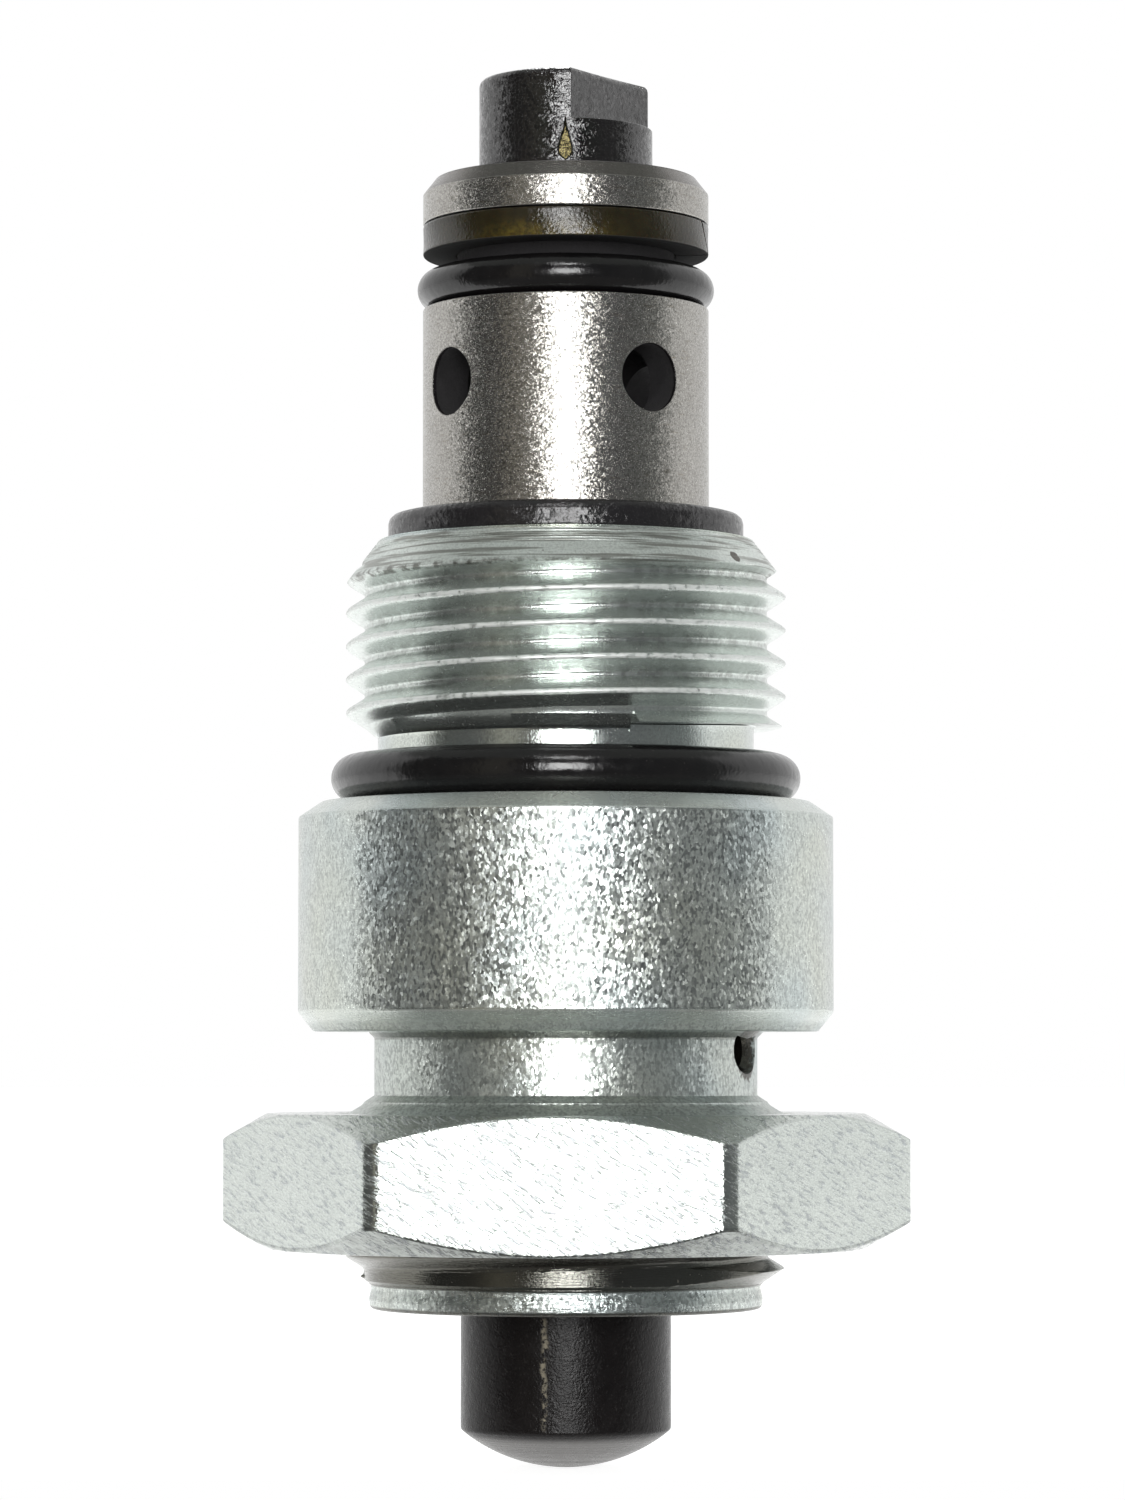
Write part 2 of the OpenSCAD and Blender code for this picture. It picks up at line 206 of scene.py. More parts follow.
def drill(bearing, z, radius, start, end, flare, broad=1.0):
    """A round cutter along a bearing, from radius start to radius end.

    It widens by flare where it leaves the part, and is broad times as wide there.
    """
    shaft = [(0, start), (radius, start), (radius, end - flare)]
    tool = lathe("drill", shaft + [(radius + flare, end + flare), (0, end + flare)], 64)
    turn = math.radians(bearing - 90)
    out = np.array([math.cos(turn), math.sin(turn), 0.0])
    side = np.array([-math.sin(turn), math.cos(turn), 0.0])
    up = np.array([0.0, 0.0, 1.0])
    for v in tool.data.vertices:
        p = np.array(v.co)
        across = p[0] * (broad if p[2] > end * 0.001 else 1.0)
        v.co = out * p[2] + side * across + up * (p[1] + z * 0.001)
    bm = bmesh.new()
    bm.from_mesh(tool.data)
    bmesh.ops.recalc_face_normals(bm, faces=bm.faces)
    bm.to_mesh(tool.data)
    bm.free()
    return tool


# ---------------------------------------------------------------- thread

def ridge_radius(u, crest=THREAD_R, root=ROOT_R, pitch=PITCH):
    """Radius of a 60 degree thread with a rounded crest and root, u away from a crest."""
    flank, crest_round, crest_loss, root_round = 0.866, 0.0144, 0.0506, 0.0064
    u = np.abs((np.asarray(u) + pitch / 2) % pitch - pitch / 2)
    d = u - pitch / 16
    drop = flank * (d + np.sqrt(d * d + crest_round)) - crest_loss
    r = crest - drop
    return root + 0.5 * ((r - root) + np.sqrt((r - root) ** 2 + root_round))


def crest_z(bearing):
    """Height of the nose thread's crest at a bearing."""
    return NOSE_CREST + PITCH * (bearing + 90.0) / 360.0


def chamfer_radius(z):
    """Radius that the nose chamfer leaves of the thread at a height."""
    return np.minimum(THREAD_R, NOSE_EDGE + (BODY_TOP - z) * (THREAD_R - NOSE_EDGE) / (BODY_TOP - CHAMFER_Z))


def cut_z(bearing):
    """Height at which the relief's upper wall cuts the thread."""
    return 3.1 + 0.34 * smooth(START, START + 75, bearing) + 0.04 * smooth(200, 340, bearing)


def cone_h(bearing):
    """How far the relief's wall slopes down from there."""
    return 0.03 + 0.55 * smooth(150, 290, bearing)


def cavity_thread(crest, root, heights):
    """The fine thread between cage and body, at the given heights."""
    return [(float(ridge_radius(z - CAVITY_CREST, crest, root, CAVITY_PITCH)), float(z)) for z in heights]


# ---------------------------------------------------------------- valve body

def stem_thread(bearing):
    """The stem's thread: rings inside the nut, which let it turn, and the start of the helix below it."""
    bearing = (bearing + 90) % 360 - 90
    below = np.arange(STEM_FOOT, HELIX_TOP, 0.042)
    z = np.concatenate([below, np.arange(HELIX_TOP + 0.05, NECK_END, PITCH / 16)])
    rings = ridge_radius(z - RING_CREST)
    crest = HELIX_CREST + PITCH * (bearing + 90) / 360
    helix = ridge_radius(z - crest)
    first_turn = 9.0 + 0.9 * smooth(25, 80, bearing)
    helix = np.minimum(helix, np.where(z < crest - PITCH / 2, first_turn, THREAD_R - 0.05))
    ramp = PILOT_R + 0.02 + (z - STEM_FOOT) * 1.5
    helix = np.minimum(helix, np.maximum(ramp, PILOT_R + 0.04))
    r = helix + (rings - helix) * smooth(-19.78, -19.55, z)
    return list(zip(r.tolist(), z.tolist()))


def turned_cone(lines):
    """The chamfer over the nose thread, with fine turned lines of uneven depth and place."""
    rng = np.random.default_rng(11)
    edges = np.linspace(CONE_FOOT, BODY_TOP, lines + 1)
    edges[1:-1] += rng.uniform(-0.03, 0.03, lines - 1)
    out = []
    for a, b in zip(edges[:-1], edges[1:]):
        depth = rng.uniform(0.02, 0.045)
        for share, part in ((0.0, 0.0), (0.3, 0.9), (0.55, 1.0), (0.8, 0.7)):
            z = a + (b - a) * share
            out.append((float(chamfer_radius(z)) - depth * part, float(z)))
    return out


def body_piece():
    """The whole body, with its own profile at each bearing, because the helix and its ends change."""
    pilot = soften([
        (5.6, STEM_END), (PILOT_R - 0.05, STEM_END, 0.3), (PILOT_R, -22.15, 0.3), (PILOT_R - 0.1, -21.7, 0.3),
        (PILOT_R - 0.08, -21.55, 0.05), (PILOT_R + 0.02, -21.48, 0.05), (PILOT_R + 0.02, -21.45)
    ], closed=False)
    collar = soften([
        (ROOT_R, NECK_END), (NECK_R, NECK_END + 0.3), (NECK_R, -COLLAR_H - 0.3), (NECK_R + 0.3, -COLLAR_H),
        (COLLAR_R - 0.7, -COLLAR_H, 0.12), (COLLAR_R, -COLLAR_H + 0.85, 0.2),
        (COLLAR_R, -0.68, 0.12), (COLLAR_R - 1, 0, 0.12), (RELIEF_R, 0, 0.2), (RELIEF_R, 2.0), (RELIEF_R, 2.7)
    ], closed=False)
    cone = turned_cone(7)
    mouth = soften([
        (NOSE_EDGE, BODY_TOP), (7.7, BODY_TOP), (7.7, 10.55), (7.03, 10.55)
    ], radius=0.05, closed=False)
    bore = soften([
        (6.49, 3.8), (5, 3.8), (5, 0.2), (5.4, 0.2), (5.4, -0.65), (5, -0.65), (5, -1.45), (3.5, -1.45),
        (3.5, -4), (2.05, -4), (2.05, -5.5), (6, -5.5), (6, -17.5), (6.3, -17.5), (6.3, -22), (5.6, -22),
        (5.6, STEM_END)
    ], radius=0.05, closed=False)[:-1]
    inside = mouth + cavity_thread(7.03, 6.49, np.arange(10.3, 3.85, -CAVITY_PITCH / 12)) + bore

    rows = np.arange(2.3, 11.2 + 1e-6, PITCH / 24)
    step = 360 / (COLUMNS - 1)
    # Small nicks in the crests, one depth for each column and turn.
    turn_count, lowest_turn, deepest, nick_reach = 9, -4, 0.07, 0.22
    nicks = np.random.default_rng(3).uniform(0, 1, (COLUMNS, turn_count)) ** 3 * deepest

    def profile(bearing):
        cut_height, slope = float(cut_z(bearing)), float(cone_h(bearing))
        z = np.clip(rows + PITCH * (bearing - START) / 360.0, cut_height, CONE_FOOT)
        edge = chamfer_radius(z)
        turns = (z - crest_z(bearing)) / PITCH
        turn = np.round(turns).astype(int)
        nick = nicks[int(round((bearing - START) / step)), turn - lowest_turn]
        crest_share = np.clip(1 - np.abs(turns - turn) * PITCH / nick_reach, 0, 1)
        thread = ridge_radius(z - crest_z(bearing)) - nick * crest_share
        thread = np.minimum(edge, thread)
        fade = smooth(10.35, CONE_FOOT, z)
        r = edge - (edge - thread) * (1 - fade)
        helix = list(zip(r.tolist(), z.tolist()))
        foot = cut_height - slope
        wall = [(RELIEF_R, foot - 0.12), (RELIEF_R + 0.02, foot - 0.03), (RELIEF_R + 0.08, foot + 0.02)]
        lip = (helix[0][0] - 0.03, cut_height)
        return pilot + stem_thread(bearing) + collar + wall + [lip] + helix + cone + inside

    bearings = np.linspace(START, START + 360, COLUMNS)
    body = columns_mesh("body_shell", bearings, profile, around=False)
    return cut(body, [drill(VENT_BEARING, VENT_Z, VENT_R, 4.5, NECK_R - 0.25, 0.25, 1.55)])


# ---------------------------------------------------------------- jam nut

def nut_piece():
    """The hexagon with its 30 degree chamfers, and a bore with ring grooves that match the stem's rings."""
    apothem, corner, face, gap = 13.5, 15.41, 13.4, 0.05
    slope = math.tan(math.radians(30))
    mouth = NUT_MOUTH - NUT_BORE
    flank, half_root = 1.732, 0.17

    def reach(bearing):
        """How far out the side is: the flat, or the corner circle where that is nearer, joined over gap."""
        off = (bearing - NUT_BEARING + 30) % 60 - 30
        flat = apothem / math.cos(math.radians(off))
        return 0.5 * (flat + corner - math.sqrt((flat - corner) ** 2 + gap * gap))

    groove = []
    for z in np.arange(NUT_LOW + 1.15, NUT_HIGH - 1.1, PITCH / 12):
        d = abs((z - RING_CREST + PITCH / 2) % PITCH - PITCH / 2)
        groove.append((max(NUT_BORE, NUT_ROOT - flank * max(0.0, d - half_root)), float(z)))

    def profile(bearing):
        r = reach(bearing)
        drop = (r - face) * slope
        outer = soften([
            (NUT_MOUTH, NUT_LOW), (face, NUT_LOW, 0.25), (r, NUT_LOW + drop, 0.12),
            (r, NUT_HIGH - drop, 0.12), (face, NUT_HIGH, 0.25), (NUT_MOUTH, NUT_HIGH, 0.1),
            (NUT_BORE, NUT_HIGH - mouth, 0)
        ], closed=False)
        return outer + groove[::-1] + [(NUT_BORE, NUT_LOW + mouth)]

    corner_rise = np.linspace(-30, -24, 14)[:-1]
    across_flat = np.linspace(-24, 24, 33)[:-1]
    corner_fall = np.linspace(24, 30, 14)[:-1]
    bearings = []
    for side in range(6):
        base = NUT_BEARING + 60 * side
        bearings += [base + t for t in np.concatenate([corner_rise, across_flat, corner_fall])]
    return columns_mesh("jam_nut_shell", np.array(bearings), profile, sharp=28)


# ---------------------------------------------------------------- cage, poppet head, plunger

def cage_piece():
    """The turned sleeve with its ports, and two bleed holes through its inner wall."""
    thread = cavity_thread(7.0, 6.39, np.arange(4.1, 10.2, CAVITY_PITCH / 12))
    profile = [(4.9, 4.0), (6.39, 4.0)] + thread + [(6.39, 10.35), (6.3, 10.45)] + soften([
        (6.3, 10.5), (6.3, BODY_TOP, 0.05), (8, BODY_TOP, 0.12), (8, FLANGE_TOP, 0.42),
        (SLEEVE_R, FLANGE_TOP, 0.1), (SLEEVE_R, GROOVE_LOW, 0.06),
        (GROOVE_R, GROOVE_LOW, 0.15), (GROOVE_R, GROOVE_HIGH, 0.15),
        (SLEEVE_R, GROOVE_HIGH, 0.06), (SLEEVE_R, CAGE_TOP - 0.7, 0.05), (SLEEVE_R - 0.55, CAGE_TOP, 0.07),
        (3.8, CAGE_TOP, 0.05), (3.2, CAGE_TOP - 0.6, 0.05), (3.2, 21.7, 0.1), (4.6, 20.3, 0.1),
        (4.6, 15, 0.1), (2.03, 15, 0.05), (2.03, 10, 0.05), (4.9, 10, 0.1), (4.9, 4.0)
    ], closed=False)[:-1]
    body = lathe("cage_shell", profile)
    tools = [drill(PORT_BEARING + 90 * i, PORT_Z, PORT_R, 3.0, SLEEVE_R, 0.07) for i in range(4)]
    bleed, bleed_at = [(0, 9), (0.6, 9), (0.6, 16), (0, 16)], 2.9
    for side in (0, 180):
        tool = lathe("bleed", bleed, 32)
        x, y, _ = point_at(side, bleed_at, 0)
        for v in tool.data.vertices:
            v.co.x += x * 0.001
            v.co.y += y * 0.001
        tools.append(tool)
    return cut(body, tools)


def head_piece():
    """The head, round up to FLAT_Z and cut by one flat above it."""
    half = math.degrees(math.acos(FLAT_D / HEAD_R))
    full = HEAD_R - 2e-5

    def reach(bearing):
        """How far out the side above FLAT_Z is: the flat within half of its bearing, else the round."""
        off = abs((bearing - FLAT_BEARING + 180) % 360 - 180)
        return full if off >= half else min(full, FLAT_D / math.cos(math.radians(off)))

    def profile(bearing):
        r = reach(bearing)
        low = soften([
            (1.5, 24.0), (2.3, 24.0, 0.1), (2.3, 26.7, 0.2), (3.15, CAGE_TOP - 0.58, 0.05),
            (3.8, CAGE_TOP + 0.02, 0), (HEAD_R, CAGE_TOP + 0.02, 0.1), (HEAD_R, CAGE_TOP + 1.2)
        ], closed=False)
        high = soften([
            (HEAD_R, FLAT_Z - 0.4), (HEAD_R, FLAT_Z, 0.05), (r, FLAT_Z, 0.08), (r, HEAD_TOP, 0.28),
            (0, HEAD_TOP)
        ], closed=False)
        return low + high + [(0, 30.0), (1.5, 30.0)]

    base = np.arange(0, 360, 1.5)
    extra = [FLAT_BEARING + s * (half + t) for s in (-1, 1) for t in (-0.02, 0.02, -0.5, 0.5)]
    bearings = np.array(sorted(set(np.round(np.concatenate([base, np.array(extra) % 360]), 4))))
    return columns_mesh("poppet_head", bearings, profile)


def plunger_piece():
    """The button, with fine turned rings on its shallow dome, and its shoulder and top inside the stem."""
    dome, edge = 7.4, 4.4
    rng = np.random.default_rng(5)
    face = [(0.0, TIP)]
    r = 0.0
    while r < edge - 0.22:
        step = rng.uniform(0.12, 0.22)
        depth = rng.uniform(0.006, 0.018)
        for share, part in ((0.35, 0.0), (0.6, 1.0), (0.85, 0.9), (1.0, 0.1)):
            q = min(r + step * share, edge - 0.04)
            face.append((q, TIP + dome - math.sqrt(dome * dome - q * q) + depth * part))
        r += step
    rim_z = TIP + dome - math.sqrt(dome * dome - edge * edge)
    side = soften([
        (edge - 0.02, rim_z), (edge, rim_z + 0.01, 0.0), (PLUNGER_R, LIP, 0.2), (PLUNGER_R, -17.48, 0.1),
        (5.7, -17.48, 0.1), (5.7, -15.9, 0.15), (4.3, -15.9, 0.15), (4.3, -14.0, 0.1), (3.7, -13.4, 0.1),
        (3, -13.4, 0.2), (3, -9.92, 0.1), (2.6, -9.52, 0.1), (0, -9.52)
    ], closed=False)
    return lathe("plunger_shell", face + side[1:])


# ---------------------------------------------------------------- rings and springs

def ring_piece(name, section, centre, z, wobble):
    """An O-ring of section radius, very slightly uneven as a moulded and handled one is."""
    rng = np.random.default_rng(int(section * 1000))
    phase = rng.uniform(0, 2 * math.pi, 2)
    angles = np.linspace(0, 2 * math.pi, 41)[:-1]

    def profile(bearing):
        a = math.radians(bearing)
        s = section - wobble * (0.5 + 0.5 * math.sin(3 * a + phase[0]) * math.sin(7 * a + phase[1]))
        return [(centre + s * math.cos(t), z - section + s + s * math.sin(t)) for t in angles]

    return columns_mesh(name, np.arange(240) * 1.5, profile, sharp=60)


def backup_piece():
    """The backup ring, with a slanted cut through it."""
    bearing, slant, gap = 77.0, math.radians(48.0), 0.12
    profile = soften([
        (GROOVE_R + 0.01, BACKUP_LOW), (SLEEVE_R, BACKUP_LOW), (SLEEVE_R, BACKUP_HIGH),
        (GROOVE_R + 0.01, BACKUP_HIGH)
    ], radius=0.1)
    middle = (BACKUP_LOW + BACKUP_HIGH) / 2
    twist = math.degrees(math.tan(slant) / SLEEVE_R)
    width = math.degrees(gap / math.cos(slant) / SLEEVE_R)
    columns = np.linspace(width / 2, 360 - width / 2, 220)
    points = []
    for c in columns:
        points += [point_at(bearing + c - (z - middle) * twist, r, z) for r, z in profile]
    count, rows = len(columns), len(profile)
    return put("backup_ring_cut", points, skin(count, rows, around=False) + caps(count, rows), 40)


def spring_piece(name, low, high, mean, wire, active):
    """A compression spring with closed and ground ends, one closed tube."""
    sides, steps = 14, 56
    # The middle of the wire on its seat, and how far it climbs over the closed turn, in wire diameters.
    seat, climb = 0.25, 1.08
    turns = active + 2
    dead = wire * (seat + climb)
    pitch = (high - low - 2 * dead) / active
    rings = int(steps * turns) + 1
    points = []
    for i in range(rings):
        t = turns * i / (rings - 1)
        if t < 1:
            rise = low + wire * (seat + climb * t)
        elif t > turns - 1:
            rise = high - wire * (seat + climb * (turns - t))
        else:
            rise = low + dead + pitch * (t - 1)
        a = 2 * math.pi * t
        for k in range(sides):
            b = 2 * math.pi * k / sides
            r = mean + wire / 2 * math.cos(b)
            z = min(high, max(low, rise + wire / 2 * math.sin(b)))
            points.append((r * math.cos(a), r * math.sin(a), z))
    return put(name, points, skin(rings, sides, around=False) + caps(rings, sides), 50)


# ---------------------------------------------------------------- materials

# What a fade gives below and above its limits, when it goes down.
FALL = (1.0, 0.0)

# Areas of the surfaces, as their lowest and highest z.
THREAD_ZONE, GROOVE_ZONE, CREST_ZONE, LAST_CREST = (3.0, 11.7), (4.2, 10.6), (3.0, 10.2), (9.65, 10.2)
CONE_ZONE = (10.0, 11.72)
COLLAR_SIDE, UPPER_CHAMFER, LOWER_CHAMFER = (-9.3, -0.75), (-0.72, 0.1), (-10.4, -9.35)
NECK_ZONE, NECK_FILLET = (-14.6, -9.9), (-10.62, -10.3)
RUN_OUT, STREAK_ZONE = (-21.55, -19.8), (-27.6, -22.9)
SLEEVE_ZONE, NOSE_CHAMFER, DROP_ZONE = (12.9, 27.5), (27.42, 28.12), (CAGE_TOP + 0.3, FLAT_Z)
# Where the pilot and its foot set in, going down.
PILOT_EDGE, PILOT_FOOT = (-21.4, -21.6), (-22.38, -22.48)
# The nut's lower chamfer, as limits of z less the rise of a 30 degree cone.
LOWER_CONE = (-27.8, -27.5)

# Grimy spots on the body: bearing, radius, height and size. The last is at the vent.
STAINS = ((53, 9.35, 10.6, 0.55), (41, 9.8, 9.85, 0.6), (VENT_BEARING, NECK_R, VENT_Z, 2.4))


class Shader:
    """A Principled material with short helpers for its nodes. Positions are in millimetres."""

    def __init__(self, name, **fixed):
        self.mat = bpy.data.materials.new(name)
        self.mat.use_nodes = True
        self.tree = self.mat.node_tree
        self.bsdf = self.tree.nodes["Principled BSDF"]
        for key, value in fixed.items():
            self.bsdf.inputs[key.replace("_", " ")].default_value = value
        coords = self.node("ShaderNodeTexCoord")
        self.pos = self.scaled(coords.outputs["Object"], (1000, 1000, 1000))
        split = self.node("ShaderNodeSeparateXYZ", Vector=self.pos)
        self.x, self.y, self.z = split.outputs
        self.r = self.math("SQRT", self.add(self.times(self.x, self.x), self.times(self.y, self.y)))
        self.normal = None

    def feed(self, socket, value):
        """Links a node's output to a socket, or sets the socket to a plain value."""
        if isinstance(value, bpy.types.NodeSocket):
            self.tree.links.new(value, socket)
        else:
            socket.default_value = value

    def node(self, kind, **inputs):
        n = self.tree.nodes.new(kind)
        for key, value in inputs.items():
            self.feed(n.inputs[key], value)
        return n

    def math(self, kind, a, b=None):
        n = self.tree.nodes.new("ShaderNodeMath")
        n.operation = kind
        self.feed(n.inputs[0], a)
        if b is not None:
            self.feed(n.inputs[1], b)
        return n.outputs[0]

    def add(self, a, b):
        return self.math("ADD", a, b)

    def less(self, a, b):
        """a with b taken away."""
        return self.math("SUBTRACT", a, b)

    def times(self, first, *others):
        """The product of the values."""
        for other in others:
            first = self.math("MULTIPLY", first, other)
        return first

    def most(self, first, *others):
        """The largest of the values."""
        for other in others:
            first = self.math("MAXIMUM", first, other)
        return first

    def vector(self, kind, a, b):
        n = self.tree.nodes.new("ShaderNodeVectorMath")
        n.operation = kind
        self.feed(n.inputs[0], a)
        self.feed(n.inputs[1], b)
        return n.outputs["Value" if kind in ("DOT_PRODUCT", "DISTANCE") else "Vector"]

    def scaled(self, vector, factors):
        return self.vector("MULTIPLY", vector, factors)

    def around(self, across, along):
        """A position for marks that run round the axis, with across cells to a radian and along mm to a cell.

        The radius counts a little as height, so that the marks stay rings on a flat face.
        """
        height = self.add(self.z, self.times(self.r, 0.45))
        unit = self.node("ShaderNodeCombineXYZ", X=self.math("DIVIDE", self.x, self.r),
                         Y=self.math("DIVIDE", self.y, self.r), Z=self.math("DIVIDE", height, along))
        return self.scaled(unit.outputs[0], (across, across, 1))

    def noise(self, size, detail=2.0, rough=0.5, at=None, shift=0.0):
        """A noise with cells of size mm. A shift gives another pattern of the same kind."""
        source = self.pos if at is None else at
        if shift:
            source = self.vector("ADD", source, (shift, shift * 1.7, -shift))
        n = self.node("ShaderNodeTexNoise", Vector=source, Scale=1.0 / size, Detail=detail, Roughness=rough)
        return n.outputs["Fac"]

    def spread(self, size, out=(0.0, 1.0), detail=2.0, rough=0.5, shift=2.0):
        """A noise that wanders between the two values of out."""
        return self.fade(self.noise(size, detail, rough, shift=shift), 0.3, 0.7, out)

    def facets(self, size, at=None):
        """A surface of small flat patches.

        Gives its height in cells, each patch tilted its own way, and a random number for each patch.
        """
        source = self.pos if at is None else at
        n = self.node("ShaderNodeTexVoronoi", Vector=source, Scale=1.0 / size)
        tilt = self.vector("SUBTRACT", n.outputs["Color"], (0.5, 0.5, 0.5))
        reach = self.vector("SUBTRACT", source, n.outputs["Position"])
        shade = self.node("ShaderNodeSeparateXYZ", Vector=n.outputs["Color"]).outputs[2]
        return self.math("DIVIDE", self.vector("DOT_PRODUCT", tilt, reach), size), shade

    def fade(self, value, low, high, out=(0.0, 1.0)):
        """Smooth step of a value between two limits, clamped."""
        n = self.tree.nodes.new("ShaderNodeMapRange")
        n.interpolation_type = "SMOOTHSTEP"
        self.feed(n.inputs["Value"], value)
        for key, limit in zip(("From Min", "From Max", "To Min", "To Max"), (low, high, *out)):
            n.inputs[key].default_value = limit
        return n.outputs["Result"]

    def band(self, value, limits, soft):
        """1 inside the limits, 0 outside."""
        low, high = limits
        rise = self.fade(value, low - soft, low + soft)
        return self.times(rise, self.fade(value, high - soft, high + soft, FALL))

    def mix(self, share, a, b):
        """Colour a where share is 0, b where it is 1."""
        n = self.tree.nodes.new("ShaderNodeMix")
        n.data_type = "RGBA"
        self.feed(n.inputs["Factor"], share)
        for socket, value in ((n.inputs[6], a), (n.inputs[7], b)):
            self.feed(socket, value if isinstance(value, bpy.types.NodeSocket) else (*value, 1.0))
        return n.outputs[2]

    def blend(self, share, a, b):
        """Number a where share is 0, b where it is 1."""
        n = self.tree.nodes.new("ShaderNodeMix")
        n.data_type = "FLOAT"
        self.feed(n.inputs["Factor"], share)
        self.feed(n.inputs[2], a)
        self.feed(n.inputs[3], b)
        return n.outputs[0]

    def near(self, bearing, r, z, size):
        """1 at a spot on the surface, 0 from size away."""
        return self.fade(self.vector("DISTANCE", self.pos, point_at(bearing, r, z)), 0.0, size, FALL)

    def bump(self, height, depth):
        """Adds relief, depth in millimetres."""
        n = self.node("ShaderNodeBump", Height=height, Distance=depth * 0.001)
        n.inputs["Strength"].default_value = 1.0
        if self.normal is not None:
            self.feed(n.inputs["Normal"], self.normal)
        self.normal = n.outputs["Normal"]

    def set(self, **inputs):
        """Feeds the shader its inputs and the relief, and gives the material."""
        for key, value in inputs.items():
            self.feed(self.bsdf.inputs[key.replace("_", " ")], value)
        if self.normal is not None:
            self.feed(self.bsdf.inputs["Normal"], self.normal)
        return self.mat


def mottled(s, color, share):
    """Adds the fine dark mottle of zinc plating."""
    mottle = s.fade(s.noise(0.11, 2.0, 0.7, shift=11.0), 0.36, 0.6, FALL)
    return s.mix(s.times(mottle, share), color, (0.3, 0.32, 0.31))


def speckle(s):
    """1 on small specks that lie in loose clouds."""
    specks = s.fade(s.noise(0.13, 2.0, 0.6, shift=3.0), 0.66, 0.74)
    return s.times(specks, s.fade(s.noise(1.6, 2.0, 0.5, shift=9.0), 0.46, 0.6))


def darkened(s, color, darkening, specks):
    """Darkens the colour by the given share, and adds the dark specks."""
    color = s.mix(darkening, color, (0.055, 0.045, 0.032))
    return s.mix(s.times(specks, 0.75), color, (0.12, 0.11, 0.09))


def zinc_nut():
    """The nut's plating: darker round its bore, painted shade on its lower chamfer, and scuffs slanting
    across its faces.
    """
    s = Shader("zinc_nut")
    color = s.mix(s.noise(3.2, 3.0, 0.6), (0.54, 0.58, 0.55), (0.64, 0.675, 0.64))
    color = mottled(s, color, 0.3)
    specks = speckle(s)
    # Painted shade: the lower chamfer, which faces down, is darkened in patches.
    cone_height = s.less(s.z, s.times(s.r, math.tan(math.radians(30))))
    chamfer = s.times(s.band(cone_height, LOWER_CONE, 0.03), s.spread(0.6, (0.3, 0.7), 3.0, 0.7, shift=8.0))
    color = s.mix(chamfer, color, (0.2, 0.21, 0.2))
    # Darker round the bore, and the dark specks.
    color = darkened(s, color, s.times(s.fade(s.r, 9.6, 10.6, FALL), 0.85), specks)
    slant = s.tree.nodes.new("ShaderNodeVectorRotate")
    slant.rotation_type = "Y_AXIS"
    s.feed(slant.inputs["Vector"], s.pos)
    slant.inputs["Angle"].default_value = math.radians(-32)
    waves = s.noise(1.0, 3.0, 0.7, at=s.scaled(slant.outputs[0], (1.3, 1.3, 7.0)), shift=1.0)
    scuff = s.fade(waves, 0.5, 0.68)
    color = s.mix(s.times(scuff, 0.35), color, (0.27, 0.29, 0.36))
    rough = s.add(s.blend(scuff, 0.12, 0.45), s.times(specks, 0.3))
    s.bump(s.noise(0.07, 2.0, 0.6), 0.004)
    s.bump(s.fade(waves, 0.45, 0.68), 0.017)
    s.bump(s.noise(0.18, 3.0, 0.7, shift=6.0), 0.012)
    return s.set(Base_Color=color, Roughness=rough, Metallic=s.less(0.94, s.times(specks, 0.6)))


def body_grime_and_shade(s, run_out):
    """Where the body is darkened: grime in the thread grooves, on the last crest and in spots; painted shade
    on the run-out and the pilot's foot; darker in the neck fillet and the bore.
    """
    patches = s.fade(s.noise(0.5, 3.0, 0.7, shift=5.0), 0.42, 0.62)
    grooves = s.times(s.band(s.z, GROOVE_ZONE, 0.2), s.fade(s.r, 9.1, 9.4, FALL), 0.3, patches)
    last = s.times(s.band(s.z, LAST_CREST, 0.12), s.fade(s.r, 9.5, 9.6), patches, 0.75)
    fillet = s.times(s.band(s.z, NECK_FILLET, 0.06), s.fade(s.r, 8.75, 9.1, FALL), 0.55)
    bore = s.times(s.fade(s.r, 7.8, 8.1, FALL), 0.3)
    # Painted shade on the run-out and the pilot's foot; grime in the grooves, on the last crest and in the
    # spots; the neck fillet and the bore are only made darker.
    darkening = s.most(grooves, last, s.times(run_out, 0.85), fillet, bore)
    ragged = s.times(s.noise(0.25, 2.0, shift=4.0), 0.5)
    for stain in STAINS:
        spot = s.fade(s.add(s.near(*stain), ragged), 0.62, 0.72)
        darkening = s.most(darkening, s.times(spot, 0.92))
    return darkening


